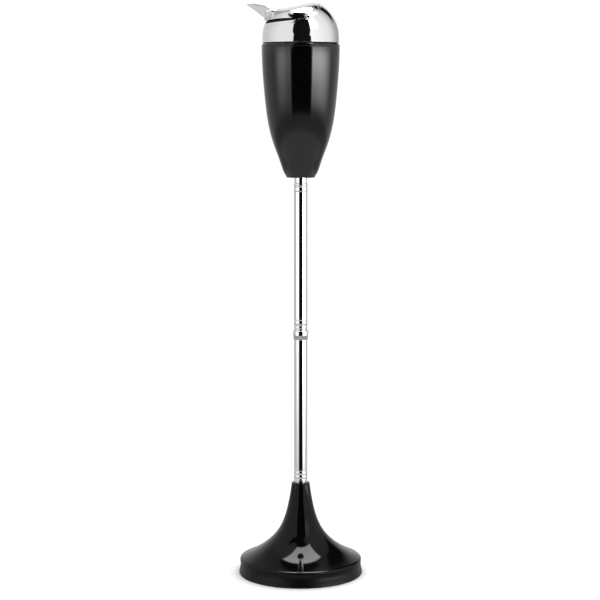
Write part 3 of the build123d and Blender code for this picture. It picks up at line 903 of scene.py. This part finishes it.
def boatSection(line, roll):
    x, half, rim, dish, keel = line
    floor = rim - dish * 4 / 3
    flank = [(0, keel), (0.45 * half, keel), (0.9 * half, rim - 0.45 * (rim - keel)), (half, rim)]
    hollow = [(half, rim), (0.4 * half, floor), (-0.4 * half, floor), (-half, rim)]
    right = [bezier(*flank, (1 - roll) * k / 16) for k in range(17)]
    low, corner, high = Vector(right[-1]), Vector(flank[3]), Vector(bezier(*hollow, roll * 0.8))
    for k in range(1, 8):  # the rim is rolled over
        share = k / 8
        over = corner.lerp(high, share)
        right.append(tuple(low.lerp(corner, share).lerp(over, share)))
    top = [bezier(*hollow, roll * 0.8 + (1 - roll * 1.6) * k / 20) for k in range(21)]
    left = [(-y, z) for y, z in reversed(right[1:])]
    return [Vector((x, y, ballZ + z)) * mm for y, z in right + top + left]


def boatMesh(name, lines, startWay, endWay, roll, nose):
    rings = [boatSection(line, roll) for line in batten(lines, startWay, endWay, 7)]
    middle = sum(rings[0], Vector()) / len(rings[0])
    tip = []
    for k in (3, 2, 1):  # the front end is rounded over
        turn = math.pi / 2 * k / 3
        away = Vector((-nose * math.sin(turn) * mm, 0, 0))
        tip.append([middle + (point - middle) * math.cos(turn) + away for point in rings[0]])
    middle = sum(rings[-1], Vector()) / len(rings[-1])
    return intoObject(closedRings(tip + rings + [[middle] * len(rings[-1])], loopAlong=False), name)


def crispCreases(piece, angle):
    # the tab was cast apart and brazed on, so the lines between the shapes stay crisp
    mesh = bmesh.new()
    mesh.from_mesh(piece.data)
    bmesh.ops.remove_doubles(mesh, verts=mesh.verts, dist=0.004 * mm)
    for edge in mesh.edges:
        if len(edge.link_faces) == 2:
            edge.smooth = edge.calc_face_angle() < math.radians(angle)
    mesh.to_mesh(piece.data)
    mesh.free()


def ballTool(radius):
    mesh = bmesh.new()
    place = Matrix.Translation((0, 0, ballZ * mm))
    bmesh.ops.create_icosphere(mesh, subdivisions=6, radius=radius * mm, matrix=place)
    return intoObject(mesh, "ballTool")


columns = [lidColumn(2 * math.pi * k / lid["around"]) for k in range(lid["around"])]
lidShell = intoObject(closedRings([list(row) for row in zip(*columns)], loopAlong=False), "lid")
tab = boatMesh("tab", tabLines, (1, 1.6, 0.1, 0.2, -1.0), (1, 0, -0.2, -0.1, 0), 0.06, 0.5)
brow = boatMesh("brow", browLines, (1, 3, 4, 0, 0), (1, 0, -0.1, 0, 0), 0.24, 0.5)
carve(brow, tab, "UNION")
carve(brow, ballTool(ballR - lid["sheet"]), "DIFFERENCE")
carve(lidShell, brow, "UNION")
crispCreases(lidShell, 24)
settle(lidShell, "lid", "chrome_lid", "lid")

# the lid hangs on two ears inside the head
earOut = wallY - head["bossDeep"] - 0.8
earTop = lidTop(pivotX, earOut, lid["sheet"]) + 0.4
ears = bmesh.new()
earRim = []
for k in range(25):  # round under the pin, straight above it
    turn = math.pi + math.pi * k / 24
    earRim.append((pivotX + lid["earR"] * math.cos(turn), pivotZ + lid["earR"] * math.sin(turn)))
earRim += [(pivotX + lid["earR"], earTop), (pivotX - lid["earR"], earTop)]
for facing in (1, -1):
    y = facing * (earOut - lid["earT"])
    face = ears.faces.new([ears.verts.new(Vector((x, y, ballZ + z)) * mm) for x, z in earRim])
    for vertex in bmesh.ops.extrude_face_region(ears, geom=[face])["geom"]:
        if isinstance(vertex, bmesh.types.BMVert):
            vertex.co.y += facing * lid["earT"] * mm
bmesh.ops.recalc_face_normals(ears, faces=ears.faces)
ears = intoObject(ears, "lidEars")
rounding = ears.modifiers.new("rounding", "BEVEL")
rounding.width = 0.25 * mm
rounding.segments = 3
settle(ears, "lid", "chrome_lid")
print("lid made")

# mouth seal: a rubber lip inside the head, under the seam, round the front from hinge to hinge
seal = {
    "below": 3.0,            # under the mouth's edge
    "aboveShare": 0.68,      # over it, as a share of the seam's gap
    "backX": 2.3,
    "steps": 120,
    # the lip's section: in from the ball's wall, and up as a share of its height
    "section": [
        (0, 0.04), (0, 0.5), (0, 0.94), (0.3, 1.0), (1.0, 1.04),
        (1.6, 1.0), (2.0, 0.92), (2.0, 0.5), (2.0, 0.06), (1.0, 0.0),
    ],
}
sealWall = ballR - head["sheet"] - 0.05
startTurn = math.acos(seal["backX"] / (sealWall * math.cos(math.asin(mouthLine(0) / sealWall))))
sealRings = []
for k in range(seal["steps"] + 1):
    turn = startTurn + (2 * math.pi - 2 * startTurn) * k / seal["steps"]
    section = []
    for inwards, along in seal["section"]:
        radius = sealWall - inwards
        x = radius * math.cos(turn)
        for _ in range(6):  # the height depends on x, and x on the height
            lowest = mouthLine(x) - seal["below"]
            highest = mouthLine(x) + seal["aboveShare"] * seamGap(x)
            height = lowest + along * (highest - lowest)
            x = math.sqrt(radius**2 - height**2) * math.cos(turn)
        flat = math.sqrt(radius**2 - height**2)
        section.append(Vector((flat * math.cos(turn), flat * math.sin(turn), ballZ + height)) * mm)
    sealRings.append(section)
for end in (0, -1):  # both ends close to a point
    middle = sum(sealRings[end], Vector()) / len(sealRings[end])
    sealRings.insert(0 if end == 0 else len(sealRings), [middle] * len(sealRings[end]))
mouthSeal = intoObject(closedRings(sealRings, loopAlong=False), "mouthSeal")
settle(mouthSeal, "head", "black_rubber", "mouth_seal")
print("seal made")

# what the CAD already shapes gets its finish
keptFinish = {
    "zinc_steel": (
        "base_plate", "base_washer", "base_bolt", "spacer_tube", "neck_disc",
        "lower_tube_bottom_plug", "lower_tube_top_plug", "upper_tube_bottom_plug", "upper_tube_top_plug",
        "joint_stud", "bin_washer", "bin_bolt", "rest_ring",
    ),
    "cast_iron": ("base_weight",),
    "pale_nylon": ("pivot_washers",),
}
for slot, nodes in keptFinish.items():
    for node in nodes:
        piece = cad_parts[node]
        piece.data.materials.clear()
        piece.data.materials.append(finishes[slot])
print("carried over:", sum(len(nodes) for nodes in keptFinish.values()))

# studio: camera, floor and light
studio = {
    "eye": (-0.0008, -1.9816, 0.5603),
    "pitch": 83.41,          # camera tilt from straight down, in degrees
    "lens": 100.48,
    "sensor": 36,
    "floorTone": 0.8,
    "floorHalf": 6,
    "floorDrop": 0.2 * mm,
    "lightPower": 4.3,
    "lightSpread": 80.0,     # degrees across, which makes its shadow soft
    "lightLean": (-6, 4),
}
camera = bpy.data.objects.new("camera", bpy.data.cameras.new("camera"))
scene.collection.objects.link(camera)
camera.location = studio["eye"]
camera.rotation_euler = (math.radians(studio["pitch"]), 0, 0)
camera.data.lens = studio["lens"]
camera.data.sensor_width = studio["sensor"]
scene.camera = camera

floorMesh = bmesh.new()
bmesh.ops.create_grid(floorMesh, x_segments=8, y_segments=8, size=studio["floorHalf"])
floor = intoObject(floorMesh, "floor")
floor.location.z = -studio["floorDrop"]
floor.visible_glossy = False
material, graph, place = newFinish("paleFloor")
tone = studio["floorTone"]
mottle = graph.noise(place, 30, 3.0)
colour = graph.blend(mottle, paint(tone * 0.99, tone * 0.99, tone * 0.99), paint(tone, tone, tone))
surface(graph, {"Base Color": colour, "Roughness": 0.9, "Specular IOR Level": 0.0})
floor.data.materials.append(material)

# an even broad light overhead lays a soft shadow on the floor; the room below makes the reflections
lamp = bpy.data.objects.new("overheadLight", bpy.data.lights.new("overheadLight", "SUN"))
scene.collection.objects.link(lamp)
lamp.rotation_euler = (math.radians(studio["lightLean"][0]), math.radians(studio["lightLean"][1]), 0)
lamp.data.angle = math.radians(studio["lightSpread"])
lamp.data.energy = studio["lightPower"]
lamp.visible_glossy = False

# what polished pieces see: soft boxes right and left ahead with a dark gap between them, a box overhead,
# pale walls that fall off to the right and behind, and dark stretches of ceiling; Low is below the horizon,
# High above
room = {
    "rightLow": 8.0,
    "rightHigh": 1.2,
    "leftLow": 2.4,
    "topBox": 12.0,
    "wallLow": 0.6,
    "floorGlow": 0.15,
    "gap": 0.003,            # what the darkest places still give
    "darkest": 0.996,
    "backdrop": 1.05,        # what the camera sees behind the object
}
world = bpy.data.worlds.new("studioLight")
scene.world = world
world.use_nodes = True
world.cycles_visibility.diffuse = False
graph = Graph(world.node_tree)
way = graph.node("ShaderNodeTexCoord", output=0)
x, y, z = (graph.node("ShaderNodeSeparateXYZ", None, {"Vector": way}, output=k) for k in range(3))
turn = x.maths("ARCTAN2", x, y * -1) * math.degrees(1)  # 0 towards the camera, 90 to the right
high = graph.fade(z, -0.012, 0.03)
under = graph.fade(z, -0.25, -0.03)

# the two boxes ahead, and the gap between their edges
rightEdge = 33 - 7 * graph.fade(z, 0.0, 0.08) + 3 * graph.fade(z, 0.1, 0.4)
rightEdge = rightEdge - 11 * graph.fade(z, 0.80, 0.97)
leftEdge = -28 + 8 * (graph.fade(z, 0, 0.05) - graph.fade(z, 0.06, 0.3)) + 5 * graph.fade(z, 0.0, 0.3)
right = graph.fade(turn - rightEdge, 0, 3)
left = graph.fade(leftEdge - turn, 0, 3)
inGap = (1 - right) * (1 - left) * graph.band(z, -0.30, -0.25, 0.985, 1.0)
rightBox = graph.fade(turn, 108, 58) * (1 - high) * room["rightLow"]
rightBox = rightBox + graph.fade(turn, 66, 38) * graph.band(z, 0.3, 0.5, 0.75, 0.9) * room["rightHigh"]
leftBox = graph.fade(turn, -88, -60) * (1 - 0.45 * graph.fade(turn, -52, -40)) * (1 - high)
leftBox = leftBox * room["leftLow"]
boxes = (right * rightBox + left * leftBox) * under

# the walls round the room, by where they stand
rightWall = 1.2 - 0.2 * graph.fade(turn, 33, 95) - 0.56 * graph.fade(turn, 88, 140)
rightWall = rightWall + 0.5 * graph.fade(turn, 148, 172)
rightWall = rightWall * (1 - 0.45 * graph.fade(z, 0.6, 0.8) * graph.fade(turn, 70, 35))
leftWall = 0.98 - 0.26 * graph.fade(turn, -66, -130) + 0.22 * graph.fade(turn, -150, -172)
leftCorner = graph.fade(z, 0.35, 0.65) * graph.band(turn, -178, -160, -140, -118)
leftWall = leftWall * (1 - 0.45 * leftCorner)
onRight = graph.fade(turn, -5, 5)
highWall = rightWall * onRight + leftWall * (1 - onRight)
walls = room["wallLow"] + (highWall - room["wallLow"]) * high
walls = walls + room["floorGlow"] * graph.fade(z, -0.33, -0.45)
walls = walls * (1 - 0.4 * graph.band(z, -0.50, -0.40, -0.29, -0.24))

# dark stretches: the ceiling before and behind the overhead box, and a door behind on the right
ceiling = graph.fade(z, 0.80, 0.86)
ahead = y + 0.12 * graph.fade(x, -0.3, -0.1)
leftLimit = graph.fade(x + 0.30 * graph.fade(z, 0.95, 0.88), -0.22, -0.14)
rightLimit = graph.fade(x - 0.12 * graph.fade(z, 0.91, 0.945), 0.14, 0.06)
frontDark = graph.fade(ahead, -0.03, -0.08) * leftLimit * rightLimit * ceiling
backDark = graph.fade(y, 0.27, 0.32) * graph.band(x, -0.34, -0.26, 0.18, 0.26) * graph.fade(z, 0.86, 0.90)
darkDoor = graph.band(turn, 128, 136, 150, 160) * graph.band(z, 0.28, 0.42, 0.78, 0.84)
for dark in (inGap, frontDark, backDark, darkDoor):
    walls = walls * (1 - room["darkest"] * dark)

topBox = graph.fade(ahead, -0.08, -0.03) * graph.fade(y, 0.32, 0.27) * ceiling
topBox = topBox * graph.fade(x + 0.35 * y, -0.23, -0.17) * graph.fade(x, 0.39, 0.35) * room["topBox"]
light = walls + boxes + topBox + room["gap"]
seen = graph.node("ShaderNodeLightPath", output=0)
strength = light * (1 - seen) + seen * room["backdrop"]
shade = graph.node("ShaderNodeBackground", None, {"Color": paint(1, 1, 1), "Strength": strength})
graph.node("ShaderNodeOutputWorld", None, {"Surface": shade})
print("studio made")
